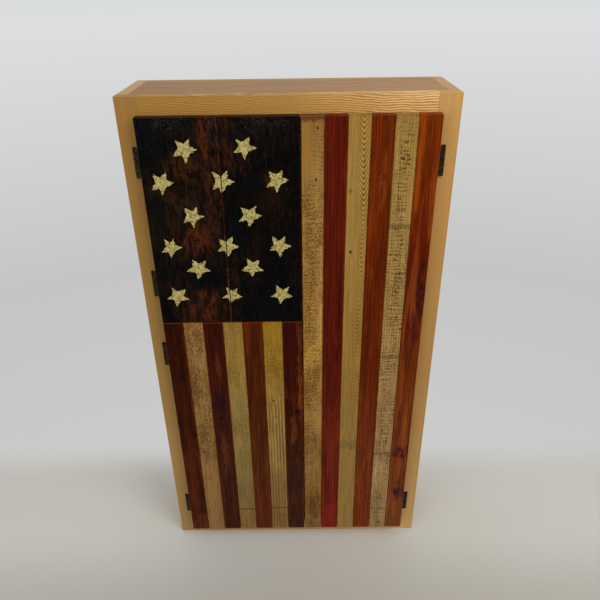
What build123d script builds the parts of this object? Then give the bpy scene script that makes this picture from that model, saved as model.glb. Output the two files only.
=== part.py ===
from build123d import *
import os

# Shallow pine cabinet with a face frame and three overlay doors made of stained boards: a star
# panel over seven stripes on the left, six full-height stripes on the right.
# Millimetres. X runs to the right, the doors face -Y and Z is up. The origin is the centre of the
# whole cabinet's footprint, on the surface that it stands on.

# Case and face frame
CASE_WIDTH = 559.0
CASE_HEIGHT = 1016.0
CASE_DEPTH = 165.0
SIDE_STOCK = 19.0
PANEL_STOCK = 19.0
BACK_STOCK = 19.0
FRAME_STOCK = 19.0
STILE_WIDTH = 38.0
RAIL_HEIGHT = 38.0

# Doors
DOOR_STOCK = 19.0
DOOR_TO_FRAME = 3.0
OVERLAP_SIDE = 5.0
OVERLAP_TOP = 9.0
OVERLAP_BOTTOM = 6.0
CANTON_HEIGHT = 379.0
DOOR_TO_DOOR = 2.0
LEFT_STRIPES = 7
RIGHT_STRIPES = 6
CANTON_BOARDS = 2
BOARD_SEAM = 0.6
BOARD_ARRIS = 1.2

# Battens on the backs of the doors
BATTEN_STOCK = 12.0
BATTEN_HEIGHT = 44.0
BATTEN_TO_HINGE = 15.0
BATTEN_TO_STILE = 6.0
BATTEN_TO_MEETING = 16.0

# Shelves and their pins
SHELF_STOCK = 16.0
SHELF_SIDE_CLEARANCE = 1.0
SHELF_SETBACK = 6.0
SHELF_TO_BACK = 2.0
LOWER_LEFT_SHELF = 320.0
RIGHT_SHELF_LOWER = 345.0
RIGHT_SHELF_UPPER = 675.0
PIN_RADIUS = 2.5
PIN_DEPTH = 9.0
PIN_REACH = 9.0
PIN_INSET = 26.0
COLLAR_RADIUS = 3.6
COLLAR_THICKNESS = 0.8

# Hinges: narrow butts with the barrel standing outside the door's edge
HINGE_HEIGHT = 50.0
HINGE_OFFSET = 10.5
LEAF_STOCK = 1.5
FRAME_LEAF_REACH = 14.5
DOOR_LEAF_REACH = 27.0
KNUCKLES = 5
KNUCKLE_GAP = 0.2
HINGE_PIN_RADIUS = 1.5
PIN_RUNNING_CLEARANCE = 0.05
PIN_HEAD_RADIUS = 2.5
PIN_HEAD_HEIGHT = 1.0
BARREL_CLEARANCE = 0.4
LEAF_CORNER = 2.0
LEAF_CLEARANCE = 0.1
LEAF_SCREW_SPACING = 28.0
LEAF_SCREW_TO_EDGE = 5.5
CANTON_HINGE_INSETS = (73.0, 78.0)
LOWER_LEFT_HINGE_INSETS = (67.0, 83.0)
RIGHT_HINGE_INSETS = (67.0, 80.0)

# Magnetic catches
CATCH_TO_MEETING = 45.0
CATCH_BODY = (24.0, 15.0, 12.0)
CATCH_EAR = 7.0
CATCH_EAR_THICKNESS = 3.0
CATCH_SETBACK = 0.6
MAGNET = (18.0, 11.0, 6.0)
STRIKE = (26.0, 1.2, 9.0)
STRIKE_GAP = 0.4

# Fasteners: (head radius, head height, shank radius, length)
BRAD = (1.2, 0.6, 0.8, 32.0)
SMALL_SCREW = (2.8, 1.5, 1.3, 10.0)
BATTEN_SCREW_HEAD = (3.4, 2.2, 1.6)
BATTEN_SCREW_COVER = 6.0
SLOT_WIDTH = 0.8
SLOT_DEPTH = 0.7
FASTENER_CLEARANCE = 0.05
DOWEL_RADIUS = 4.0
DOWEL_REACH = 15.0
DOWEL_INSET = 10.0
BRAD_INSET = 33.0
RAIL_BRAD_INSET = 122.0

# Planes across the depth, from the doors' faces at the front to the back
door_reach = DOOR_STOCK + DOOR_TO_FRAME
door_face_y = -(CASE_DEPTH + door_reach) / 2
door_back_y = door_face_y + DOOR_STOCK
frame_face_y = door_back_y + DOOR_TO_FRAME
case_y = frame_face_y + FRAME_STOCK
end_y = frame_face_y + CASE_DEPTH
back_y = end_y - BACK_STOCK

# Planes across the width and the height
outer_x = CASE_WIDTH / 2
inner_x = outer_x - SIDE_STOCK
opening_x = outer_x - STILE_WIDTH
door_edge_x = opening_x + OVERLAP_SIDE
floor_z = PANEL_STOCK
ceiling_z = CASE_HEIGHT - PANEL_STOCK
opening_low_z = RAIL_HEIGHT
opening_high_z = CASE_HEIGHT - RAIL_HEIGHT
door_low_z = opening_low_z - OVERLAP_BOTTOM
door_high_z = opening_high_z + OVERLAP_TOP
split_z = door_high_z - CANTON_HEIGHT - DOOR_TO_DOOR / 2

# The stripes share one width, and the doors meet after the seventh
stripe_pitch = (2 * door_edge_x - DOOR_TO_DOOR) / (LEFT_STRIPES + RIGHT_STRIPES)
meeting_x = -door_edge_x + LEFT_STRIPES * stripe_pitch + DOOR_TO_DOOR / 2
left_door_x = (-door_edge_x, meeting_x - DOOR_TO_DOOR / 2)
right_door_x = (meeting_x + DOOR_TO_DOOR / 2, door_edge_x)
canton_z = (split_z + DOOR_TO_DOOR / 2, door_high_z)
lower_left_z = (door_low_z, split_z - DOOR_TO_DOOR / 2)
right_z = (door_low_z, door_high_z)

# Hinge barrels: tangent to the outer faces of both closed leaves
barrel_radius = DOOR_TO_FRAME / 2 + LEAF_STOCK
hinge_y = frame_face_y - DOOR_TO_FRAME / 2
hinge_x = door_edge_x + HINGE_OFFSET

divider_x = (meeting_x - PANEL_STOCK / 2, meeting_x + PANEL_STOCK / 2)
UP = (Align.CENTER, Align.CENTER, Align.MIN)
nodes = {}


def block(x, y, z):
    """Box between three (low, high) pairs."""
    centre = [(low + high) / 2 for low, high in (x, y, z)]
    return Pos(*centre) * Box(*[high - low for low, high in (x, y, z)])


def place(x, y, z, way):
    """Location at a point whose own +Z runs along way, such as -Y."""
    turns = {"+X": (0, 90, 0), "-X": (0, -90, 0), "+Y": (-90, 0, 0),
             "-Y": (90, 0, 0), "+Z": (0, 0, 0), "-Z": (180, 0, 0)}
    return Pos(x, y, z) * Rot(*turns[way])


def spread(low, high, count):
    """Evenly spaced values from low to high, both included."""
    step = (high - low) / (count - 1)
    return [low + step * index for index in range(count)]


def spans(low, high, count, gap):
    """Equal (low, high) pairs that fill a stretch, with a gap between neighbours."""
    pitch = (high - low) / count
    edges = [low + pitch * index for index in range(count + 1)]
    return [(edges[i] + (gap / 2 if i else 0), edges[i + 1] - (gap / 2 if i < count - 1 else 0))
            for i in range(count)]


def brad(clearance=0.0):
    """Headed nail pointing along +Z, with its head's face at the origin."""
    head_radius, head_height, radius, length = BRAD
    head = Cylinder(head_radius + clearance, head_height, align=UP)
    return head + Cylinder(radius + clearance, length, align=UP)


def screw(kind, clearance=0.0):
    """Countersunk wood screw pointing along +Z; with a clearance, the hole that it fits."""
    head_radius, head_height, radius, length = kind
    head = Cone(head_radius + clearance, radius + clearance, head_height, align=UP)
    body = head + Cylinder(radius + clearance, length, align=UP)
    if clearance:
        return body
    return body - Box(3 * head_radius, SLOT_WIDTH, 2 * SLOT_DEPTH)


def placed(shape, places):
    """Copies of one shape, as a list."""
    return [spot * shape for spot in places]


def bored(part, hole, places):
    """The part with a copy of the hole cut at each place that reaches it."""
    box = part.bounding_box()
    cutters = []
    for cutter in placed(hole, places):
        reach = cutter.bounding_box()
        apart = (reach.max.X < box.min.X or reach.min.X > box.max.X
                 or reach.max.Y < box.min.Y or reach.min.Y > box.max.Y
                 or reach.max.Z < box.min.Z or reach.min.Z > box.max.Z)
        if not apart:
            cutters.append(cutter)
    return part - cutters if cutters else part


def group(name, shapes):
    """One node of several separate solids."""
    nodes[name] = Compound(children=[solid for shape in shapes for solid in shape.solids()])


# Case boards and face frame
nodes["side_panel_left"] = block((-outer_x, -inner_x), (case_y, end_y), (0, CASE_HEIGHT))
nodes["side_panel_right"] = block((inner_x, outer_x), (case_y, end_y), (0, CASE_HEIGHT))
nodes["back_panel"] = block((-inner_x, inner_x), (back_y, end_y), (0, CASE_HEIGHT))
nodes["top_panel"] = block((-inner_x, inner_x), (case_y, back_y), (ceiling_z, CASE_HEIGHT))
nodes["bottom_panel"] = block((-inner_x, inner_x), (case_y, back_y), (0, floor_z))
nodes["divider_panel"] = block(divider_x, (case_y, back_y), (floor_z, ceiling_z))
fixed_shelf_z = (split_z - PANEL_STOCK / 2, split_z + PANEL_STOCK / 2)
nodes["left_fixed_shelf"] = block((-inner_x, divider_x[0]), (case_y, back_y), fixed_shelf_z)
frame_y = (frame_face_y, case_y)
nodes["stile_left"] = block((-outer_x, -opening_x), frame_y, (0, CASE_HEIGHT))
nodes["stile_right"] = block((opening_x, outer_x), frame_y, (0, CASE_HEIGHT))
nodes["top_rail"] = block((-opening_x, opening_x), frame_y, (opening_high_z, CASE_HEIGHT))
nodes["bottom_rail"] = block((-opening_x, opening_x), frame_y, (0, opening_low_z))
CASE_BOARDS = list(nodes)


def frame_brad_places():
    """Brads through the face frame into the case behind it."""
    side_mid = (outer_x + inner_x) / 2
    spots = []
    for x in (-side_mid, side_mid):
        for z in spread(BRAD_INSET, CASE_HEIGHT - BRAD_INSET, 6):
            spots.append(place(x, frame_face_y, z, "+Y"))
    for z in (floor_z / 2, CASE_HEIGHT - PANEL_STOCK / 2):
        for x in spread(-opening_x + RAIL_BRAD_INSET, opening_x - RAIL_BRAD_INSET, 3):
            spots.append(place(x, frame_face_y, z, "+Y"))
    return spots


def case_brad_places():
    """Brads through the sides, the top and the bottom into what butts against them."""
    spots = []
    depths = spread(case_y + BRAD_INSET, back_y - BRAD_INSET, 2)
    for x, way in ((-outer_x, "+X"), (outer_x, "-X")):
        for z in (floor_z / 2, CASE_HEIGHT - PANEL_STOCK / 2):
            spots += [place(x, y, z, way) for y in depths]
        for z in spread(2 * BRAD_INSET, CASE_HEIGHT - 2 * BRAD_INSET, 5):
            spots.append(place(x, (back_y + end_y) / 2, z, way))
    for y in depths:
        spots.append(place(-outer_x, y, split_z, "+X"))
        spots.append(place(meeting_x, y, 0, "+Z"))
        spots.append(place(meeting_x, y, CASE_HEIGHT, "-Z"))
    return spots


def dowel_places():
    """Dowels across the joints between the stiles and the rails."""
    spots = []
    for rail_low in (0, opening_high_z):
        for z in (rail_low + DOWEL_INSET, rail_low + RAIL_HEIGHT - DOWEL_INSET):
            for x in (-opening_x, opening_x):
                spots.append(place(x, (frame_face_y + case_y) / 2, z, "+X"))
    return spots


def shelf(x, underside):
    """Loose shelf with its clearances, resting at the given height."""
    sides = (x[0] + SHELF_SIDE_CLEARANCE, x[1] - SHELF_SIDE_CLEARANCE)
    depth = (case_y + SHELF_SETBACK, back_y - SHELF_TO_BACK)
    return block(sides, depth, (underside, underside + SHELF_STOCK))


def shelf_pin_places(x, underside):
    """Four pins under a shelf, each pointing from its panel's face into the bay."""
    spots = []
    for y in (case_y + PIN_INSET, back_y - PIN_INSET):
        spots.append(place(x[0], y, underside - PIN_RADIUS, "+X"))
        spots.append(place(x[1], y, underside - PIN_RADIUS, "-X"))
    return spots


def shelf_pin():
    """Peg with a collar at the panel's face and a shank behind it."""
    collar = Cylinder(COLLAR_RADIUS, COLLAR_THICKNESS, align=UP)
    shank = Pos(0, 0, -PIN_DEPTH) * Cylinder(PIN_RADIUS, PIN_DEPTH + PIN_REACH, align=UP)
    return collar + shank


def make_shelves():
    """Three loose shelves on pins."""
    left_bay = (-inner_x, divider_x[0])
    right_bay = (divider_x[1], inner_x)
    bays = {"lower_left_shelf": (left_bay, LOWER_LEFT_SHELF),
            "right_shelf_lower": (right_bay, RIGHT_SHELF_LOWER),
            "right_shelf_upper": (right_bay, RIGHT_SHELF_UPPER)}
    spots = []
    for name, (bay, underside) in bays.items():
        nodes[name] = shelf(bay, underside)
        spots += shelf_pin_places(bay, underside)
    hole_depth = PIN_DEPTH + FASTENER_CLEARANCE
    hole = Pos(0, 0, -hole_depth) * Cylinder(PIN_RADIUS + FASTENER_CLEARANCE, hole_depth, align=UP)
    for name in ("side_panel_left", "side_panel_right", "divider_panel"):
        nodes[name] = bored(nodes[name], hole, spots)
    group("shelf_pins", placed(shelf_pin(), spots))


def hinge_heights(door_z, insets):
    """Centre heights of a door's two hinges."""
    return (door_z[0] + insets[0], door_z[1] - insets[1])


def toward_door(side, reach):
    """(low, high) X pair from the barrel's axis towards the door's middle."""
    ends = (side * hinge_x, side * (hinge_x - reach))
    return (min(ends), max(ends))


def barrel(radius, low, high):
    """Cylinder on a hinge's own axis between two heights."""
    return Pos(0, 0, low) * Cylinder(radius, high - low, align=UP)


def leaf(side, height, reach, leaf_y, own, other):
    """Hinge leaf: a plate, its own knuckles, room for the other's, and the pin's bore."""
    pitch = HINGE_HEIGHT / KNUCKLES
    low = height - HINGE_HEIGHT / 2
    plate = block(toward_door(side, reach), leaf_y, (low, low + HINGE_HEIGHT))
    far = plate.edges().filter_by(Axis.Y).group_by(Axis.X)[-1 if side < 0 else 0]
    plate = fillet(far, LEAF_CORNER)
    axis = Pos(side * hinge_x, hinge_y, low)
    for index in other:
        room = barrel(barrel_radius + BARREL_CLEARANCE, index * pitch - KNUCKLE_GAP,
                      (index + 1) * pitch + KNUCKLE_GAP)
        plate -= axis * room
    for index in own:
        trim_low = KNUCKLE_GAP / 2 if index else 0
        trim_high = KNUCKLE_GAP / 2 if index < KNUCKLES - 1 else 0
        knuckle = barrel(barrel_radius, index * pitch + trim_low, (index + 1) * pitch - trim_high)
        plate += axis * knuckle
    bore = barrel(HINGE_PIN_RADIUS + PIN_RUNNING_CLEARANCE, -1, HINGE_HEIGHT + 1)
    return plate - axis * bore


def hinge_pin(side, height):
    """Pin with a low rounded head at each end of the barrel."""
    half = HINGE_HEIGHT / 2
    pin = barrel(HINGE_PIN_RADIUS, -half, half)
    head = fillet(barrel(PIN_HEAD_RADIUS, 0, PIN_HEAD_HEIGHT).edges().group_by(Axis.Z)[-1],
                  PIN_HEAD_HEIGHT / 2)
    pin += Pos(0, 0, half) * head
    pin += Pos(0, 0, -half) * Rot(180, 0, 0) * head
    return Pos(side * hinge_x, hinge_y, height) * pin


def leaf_screw_places(side, height, reach, y, way):
    """Two screws in a leaf, one above the other."""
    x = side * (hinge_x - reach + LEAF_SCREW_TO_EDGE)
    return [place(x, y, height + offset, way)
            for offset in (-LEAF_SCREW_SPACING / 2, LEAF_SCREW_SPACING / 2)]


def mortise(side, height, reach, leaf_y):
    """Room for a leaf's plate, a little longer and wider than the plate."""
    half = HINGE_HEIGHT / 2 + LEAF_CLEARANCE
    return block(toward_door(side, reach + LEAF_CLEARANCE), leaf_y, (height - half, height + half))


def barrel_groove(side, height):
    """Round groove that clears a barrel and its pin's heads."""
    half = HINGE_HEIGHT / 2 + PIN_HEAD_HEIGHT + BARREL_CLEARANCE
    return Pos(side * hinge_x, hinge_y, height) * barrel(barrel_radius + BARREL_CLEARANCE, -half, half)


def hang_door(door, side, heights, edge_board):
    """Hinges of one door: both sets of leaves, the mortises, and the screw places."""
    frame_y_pair = (frame_face_y, frame_face_y + LEAF_STOCK)
    door_y_pair = (door_back_y - LEAF_STOCK, door_back_y)
    stile = "stile_left" if side < 0 else "stile_right"
    outer_knuckles = range(0, KNUCKLES, 2)
    inner_knuckles = range(1, KNUCKLES, 2)
    hole = screw(SMALL_SCREW, FASTENER_CLEARANCE)
    frame_spots, door_spots, frame_leaves, door_leaves = [], [], [], []
    for height in heights:
        frame_here = leaf_screw_places(side, height, FRAME_LEAF_REACH, frame_face_y, "+Y")
        door_here = leaf_screw_places(side, height, DOOR_LEAF_REACH, door_back_y, "-Y")
        fixed = leaf(side, height, FRAME_LEAF_REACH, frame_y_pair, outer_knuckles, inner_knuckles)
        swung = leaf(side, height, DOOR_LEAF_REACH, door_y_pair, inner_knuckles, outer_knuckles)
        frame_leaves.append(bored(fixed, hole, frame_here))
        door_leaves.append(bored(swung, hole, door_here))
        nodes[stile] -= mortise(side, height, FRAME_LEAF_REACH, frame_y_pair)
        nodes[stile] -= barrel_groove(side, height)
        nodes[edge_board] -= mortise(side, height, DOOR_LEAF_REACH, door_y_pair)
        frame_spots += frame_here
        door_spots += door_here
    nodes[stile] = bored(nodes[stile], hole, frame_spots)
    nodes[edge_board] = bored(nodes[edge_board], hole, door_spots)
    group(f"{door}_frame_leaves", frame_leaves)
    group(f"{door}_door_leaves", door_leaves)
    return frame_spots, door_spots


def board(x, z):
    """Door board with its two long front arrises eased."""
    plain = block(x, (door_face_y, door_back_y), z)
    return fillet(plain.edges().filter_by(Axis.Z).group_by(Axis.Y)[0], BOARD_ARRIS)


def make_boards(door, x, z, count):
    """Upright boards side by side across a door; the names run from left to right."""
    names = [f"{door}_board_{index + 1}" for index in range(count)]
    for name, across in zip(names, spans(x[0], x[1], count, BOARD_SEAM)):
        nodes[name] = board(across, z)
    return names


def batten_ends(side):
    """X extent of a door's battens, clear of the stile and of the meeting line."""
    stile_end = side * (opening_x - BATTEN_TO_STILE)
    meeting_end = meeting_x + side * BATTEN_TO_MEETING
    return (min(stile_end, meeting_end), max(stile_end, meeting_end))


def batten_heights(heights, count):
    """Centres of the battens, spread between the door's two hinges."""
    step_in = HINGE_HEIGHT / 2 + BATTEN_TO_HINGE + BATTEN_HEIGHT / 2
    return spread(heights[0] + step_in, heights[1] - step_in, count)


def make_battens(door, side, heights, count, board_names, screws_per_board):
    """Cross battens on a door's back, screwed to every board."""
    length = BATTEN_STOCK + DOOR_STOCK - BATTEN_SCREW_COVER
    kind = (*BATTEN_SCREW_HEAD, length)
    ends = batten_ends(side)
    inner_y = door_back_y + BATTEN_STOCK
    spots = []
    for height in batten_heights(heights, count):
        for name in board_names:
            box = nodes[name].bounding_box()
            low, high = max(box.min.X, ends[0]), min(box.max.X, ends[1])
            step = (high - low) / screws_per_board
            for index in range(screws_per_board):
                offset = (-1) ** index * BATTEN_HEIGHT / 5
                spots.append(place(low + step * (index + 0.5), inner_y, height + offset, "-Y"))
    hole = screw(kind, FASTENER_CLEARANCE)
    for index, height in enumerate(batten_heights(heights, count)):
        z = (height - BATTEN_HEIGHT / 2, height + BATTEN_HEIGHT / 2)
        plain = block(ends, (door_back_y, inner_y), z)
        nodes[f"{door}_batten_{index + 1}"] = bored(plain, hole, spots)
    for name in board_names:
        nodes[name] = bored(nodes[name], hole, spots)
    group(f"{door}_batten_screws", placed(screw(kind), spots))


def catch_parts(x, rail_z, up):
    """Catch body with two ears, its magnet, and the places of its screws; up is +1 under a rail."""
    wide, deep, tall = CATCH_BODY
    front = frame_face_y + CATCH_SETBACK
    heights = sorted((rail_z, rail_z - up * tall))
    ear_heights = sorted((rail_z, rail_z - up * CATCH_EAR_THICKNESS))
    middle = rail_z - up * tall / 2
    magnet_wide, magnet_deep, magnet_tall = MAGNET
    magnet_front = door_back_y + STRIKE[1] + STRIKE_GAP
    magnet = block((x - magnet_wide / 2, x + magnet_wide / 2),
                   (magnet_front, magnet_front + magnet_deep),
                   (middle - magnet_tall / 2, middle + magnet_tall / 2))
    body = block((x - wide / 2, x + wide / 2), (front, front + deep), heights)
    ear_reach = wide / 2 + CATCH_EAR
    body += block((x - ear_reach, x + ear_reach), (front, front + deep), ear_heights)
    ear_z = rail_z - up * CATCH_EAR_THICKNESS
    way = "+Z" if up > 0 else "-Z"
    spots = [place(x + step, front + deep / 2, ear_z, way)
             for step in (-(wide + CATCH_EAR) / 2, (wide + CATCH_EAR) / 2)]
    return body - magnet, magnet, spots, middle


def make_catch(door, x, rail, up):
    """One magnetic catch on a rail and the strike plate on its door."""
    rail_z = opening_high_z if up > 0 else opening_low_z
    hole = screw(SMALL_SCREW, FASTENER_CLEARANCE)
    body, magnet, spots, middle = catch_parts(x, rail_z, up)
    nodes[rail] = bored(nodes[rail], hole, spots)
    strike_y = (door_back_y, door_back_y + STRIKE[1])
    strike = block((x - STRIKE[0] / 2, x + STRIKE[0] / 2), strike_y,
                   (middle - STRIKE[2] / 2, middle + STRIKE[2] / 2))
    strike_spot = [place(x, strike_y[1], middle, "-Y")]
    nodes[f"{door}_strike"] = bored(strike, hole, strike_spot)
    for name in [name for name in nodes if name.startswith(f"{door}_board_")]:
        nodes[name] = bored(nodes[name], hole, strike_spot)
    return bored(body, hole, spots), magnet, spots, strike_spot


# Doors: (name, hinge side, X pair, Z pair, boards, hinge insets, battens, screws in each board)
DOORS = (("canton", -1, left_door_x, canton_z, CANTON_BOARDS, CANTON_HINGE_INSETS, 2, 2),
         ("lower_left", -1, left_door_x, lower_left_z, LEFT_STRIPES, LOWER_LEFT_HINGE_INSETS, 2, 1),
         ("right", 1, right_door_x, right_z, RIGHT_STRIPES, RIGHT_HINGE_INSETS, 3, 1))
CATCHES = {"canton": (meeting_x - CATCH_TO_MEETING, "top_rail", 1),
           "lower_left": (meeting_x - CATCH_TO_MEETING, "bottom_rail", -1),
           "right": (meeting_x + CATCH_TO_MEETING, "top_rail", 1)}


def make_doors():
    """Boards, battens, hinges and catches of the three doors, with their small screws."""
    frame_spots, pins, bodies, magnets = [], [], [], []
    for door, side, x, z, count, insets, battens, per_board in DOORS:
        heights = hinge_heights(z, insets)
        names = make_boards(door, x, z, count)
        make_battens(door, side, heights, battens, names, per_board)
        fixed, swung = hang_door(door, side, heights, names[0 if side < 0 else -1])
        body, magnet, catch_spots, strike_spot = make_catch(door, *CATCHES[door])
        group(f"{door}_small_screws", placed(screw(SMALL_SCREW), swung + strike_spot))
        frame_spots += fixed + catch_spots
        pins += [hinge_pin(side, height) for height in heights]
        bodies.append(body)
        magnets.append(magnet)
    group("hinge_pins", pins)
    group("catch_bodies", bodies)
    group("catch_magnets", magnets)
    group("frame_small_screws", placed(screw(SMALL_SCREW), frame_spots))


def make_frame_fasteners():
    """Brads and dowels that hold the case and its face frame, and their holes."""
    brads = {"frame_brads": frame_brad_places(), "case_brads": case_brad_places()}
    for name, spots in brads.items():
        for part in CASE_BOARDS:
            nodes[part] = bored(nodes[part], brad(FASTENER_CLEARANCE), spots)
        group(name, placed(brad(), spots))
    half = DOWEL_REACH
    hole = Cylinder(DOWEL_RADIUS + FASTENER_CLEARANCE, 2 * half)
    for part in ("stile_left", "stile_right", "top_rail", "bottom_rail"):
        nodes[part] = bored(nodes[part], hole, dowel_places())
    group("frame_dowels", placed(Cylinder(DOWEL_RADIUS, 2 * half), dowel_places()))


make_frame_fasteners()
make_shelves()
make_doors()

os.makedirs("parts", exist_ok=True)
for name, shape in nodes.items():
    export_step(shape, f"parts/{name}.step")
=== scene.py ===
import math

import bpy
import numpy as np
from mathutils import Matrix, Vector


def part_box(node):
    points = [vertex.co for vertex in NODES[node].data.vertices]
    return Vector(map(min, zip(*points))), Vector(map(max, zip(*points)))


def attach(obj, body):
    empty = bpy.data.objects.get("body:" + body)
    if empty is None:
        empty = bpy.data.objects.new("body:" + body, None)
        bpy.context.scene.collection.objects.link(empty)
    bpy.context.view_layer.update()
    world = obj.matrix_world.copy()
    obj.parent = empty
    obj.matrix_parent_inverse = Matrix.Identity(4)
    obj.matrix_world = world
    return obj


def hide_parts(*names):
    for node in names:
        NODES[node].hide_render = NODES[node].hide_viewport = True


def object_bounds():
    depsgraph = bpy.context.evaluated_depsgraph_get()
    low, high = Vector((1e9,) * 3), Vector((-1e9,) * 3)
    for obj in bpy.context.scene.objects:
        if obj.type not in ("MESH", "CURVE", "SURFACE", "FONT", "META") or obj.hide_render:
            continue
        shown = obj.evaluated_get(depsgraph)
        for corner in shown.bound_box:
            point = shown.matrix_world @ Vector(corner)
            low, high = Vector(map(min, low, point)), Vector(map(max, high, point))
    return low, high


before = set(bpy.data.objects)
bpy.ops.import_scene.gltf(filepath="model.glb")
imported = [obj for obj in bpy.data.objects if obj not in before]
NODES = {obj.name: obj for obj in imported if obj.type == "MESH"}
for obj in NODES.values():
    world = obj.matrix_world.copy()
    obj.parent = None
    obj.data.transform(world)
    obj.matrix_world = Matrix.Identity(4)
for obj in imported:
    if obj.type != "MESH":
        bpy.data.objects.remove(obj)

# Looks of the flag cabinet. Metres, in the part's own frame: X to the right, doors towards -Y, Z up.
# Boards are rebuilt as planks with eased, worn arrises; hardware keeps its CAD shape.

CAD_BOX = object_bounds()
MM = 0.001

# Camera: place, turn (yaw, pitch down, roll, in degrees) and lens on a 36 mm wide sensor
CAMERA_PLACE = (0.0179, -1.0335, 1.1795)
CAMERA_TURN = (-0.19, 29.21, -0.76)
CAMERA_LENS = 34.74
SENSOR_WIDTH = 36.0

# Floor that fades into a pale world behind the cabinet, with a painted shade that darkens it towards the
# front, and the world's shades by height
FLOOR_WIDTH = 9.0
FLOOR_FRONT = -6.0
FLOOR_GRID = (41, 25)
FLOOR_PAST_FADE = 0.02
FADE_FROM, FADE_TO = 0.085, 0.23
# painted shade on the floor: its colour darkens from the first of these y values to the second, towards the
# front
PAINTED_SHADE_FROM, PAINTED_SHADE_TO = -0.06, -0.30
WORLD_SHADES = ((-0.72, (0.61, 0.60, 0.60)), (-0.42, (0.55, 0.555, 0.55)), (-0.06, (0.72, 0.73, 0.74)),
                (0.15, (0.61, 0.63, 0.65)))

# Lights: name, place, target, size, power in watts, colour
LIGHTS = (
    ("key", (1.7, -1.9, 2.7), (0.0, 0.0, 0.5), 1.6, 42.0, (1.0, 0.97, 0.93)),
    ("fill", (-1.9, -2.1, 1.5), (0.0, 0.0, 0.45), 1.8, 16.0, (0.95, 0.97, 1.0)),
)


def hexed(code):
    """Linear colour of a six-digit screen colour."""
    channels = [int(code[i:i + 2], 16) / 255 for i in (0, 2, 4)]
    return tuple(c / 12.92 if c < 0.04045 else ((c + 0.055) / 1.055) ** 2.4 for c in channels) + (1.0,)


class Finish:
    """One material being built: each method adds a node and gives back its output socket."""

    def __init__(self, name):
        self.material = bpy.data.materials.new(name)
        self.material.use_nodes = True
        self.tree = self.material.node_tree
        self.tree.nodes.clear()
        self.surface = self.tree.nodes.new("ShaderNodeBsdfPrincipled")
        self.output = self.tree.nodes.new("ShaderNodeOutputMaterial").inputs["Surface"]
        self.feed(self.output, self.surface.outputs["BSDF"])

    def feed(self, socket, value):
        """Links a socket into another, or sets a plain value on it."""
        if isinstance(value, bpy.types.NodeSocket):
            self.tree.links.new(value, socket)
        else:
            socket.default_value = value

    def set(self, name, value):
        """Feeds one input of the surface shader."""
        self.feed(self.surface.inputs[name], value)

    def math(self, operation, *values):
        """One arithmetic node over its values."""
        node = self.tree.nodes.new("ShaderNodeMath")
        node.operation = operation
        for socket, value in zip(node.inputs, values):
            self.feed(socket, value)
        return node.outputs[0]

    def add(self, *values):
        """Sum of several values."""
        total = values[0]
        for value in values[1:]:
            total = self.math("ADD", total, value)
        return total

    def times(self, *values):
        """Product of several values."""
        product = values[0]
        for value in values[1:]:
            product = self.math("MULTIPLY", product, value)
        return product

    def reach(self, a, b):
        """Length of the vector (a, b)."""
        return self.math("SQRT", self.add(self.times(a, a), self.times(b, b)))

    def mix(self, amount, first, second, blend="MIX"):
        """Blend of two colours."""
        node = self.tree.nodes.new("ShaderNodeMix")
        node.data_type = "RGBA"
        node.blend_type = blend
        node.clamp_factor = True
        self.feed(node.inputs[0], amount)
        self.feed(node.inputs[6], first)
        self.feed(node.inputs[7], second)
        return node.outputs[2]

    def step(self, value, low, high, top=1.0):
        """Smooth step: 0 where value is at low, top where it is at high."""
        node = self.tree.nodes.new("ShaderNodeMapRange")
        node.interpolation_type = "SMOOTHSTEP"
        self.feed(node.inputs["Value"], value)
        self.feed(node.inputs["From Min"], low)
        self.feed(node.inputs["From Max"], high)
        self.feed(node.inputs["To Max"], top)
        return node.outputs[0]

    def ramp(self, value, stops):
        """Colour along a value; stops are (place, colour) pairs."""
        node = self.tree.nodes.new("ShaderNodeValToRGB")
        band = node.color_ramp
        while len(band.elements) < len(stops):
            band.elements.new(0.5)
        for element, (place, colour) in zip(band.elements, stops):
            element.position = place
            element.color = colour
        self.feed(node.inputs[0], value)
        return node.outputs[0]

    def vector(self, x, y, z):
        """Vector from three values."""
        node = self.tree.nodes.new("ShaderNodeCombineXYZ")
        for socket, value in zip(node.inputs, (x, y, z)):
            self.feed(socket, value)
        return node.outputs[0]

    def noise(self, where, detail=3.0, rough=0.55, distort=0.0):
        """Fractal noise between about 0.2 and 0.8, already scaled through its vector."""
        node = self.tree.nodes.new("ShaderNodeTexNoise")
        self.feed(node.inputs["Vector"], where)
        node.inputs["Scale"].default_value = 1.0
        node.inputs["Detail"].default_value = detail
        node.inputs["Roughness"].default_value = rough
        node.inputs["Distortion"].default_value = distort
        return node.outputs[0]

    def place(self, centre):
        """Object coordinates measured from a point, as three separate values."""
        coordinates = self.tree.nodes.new("ShaderNodeTexCoord")
        mapping = self.tree.nodes.new("ShaderNodeMapping")
        mapping.inputs["Location"].default_value = [-value for value in centre]
        self.tree.links.new(coordinates.outputs["Object"], mapping.inputs["Vector"])
        split = self.tree.nodes.new("ShaderNodeSeparateXYZ")
        self.tree.links.new(mapping.outputs[0], split.inputs[0])
        return split.outputs[0], split.outputs[1], split.outputs[2]

    def cells(self, scales, detail=3.0, rough=0.55, distort=0.0):
        """Noise over the object's x, y and z, each times its own scale."""
        place = [self.times(value, scale) for value, scale in zip(self.place((0, 0, 0)), scales)]
        return self.noise(self.vector(*place), detail, rough, distort)

    def attribute(self, name):
        """A float attribute of the mesh."""
        node = self.tree.nodes.new("ShaderNodeAttribute")
        node.attribute_name = name
        return node.outputs["Fac"]

    def bump(self, height, distance):
        """Feeds the surface's normal from a height."""
        node = self.tree.nodes.new("ShaderNodeBump")
        node.inputs["Distance"].default_value = distance
        self.feed(node.inputs["Height"], height)
        self.set("Normal", node.outputs[0])


# Wood finishes

AXES = {"x": 0, "y": 1, "z": 2}

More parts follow.
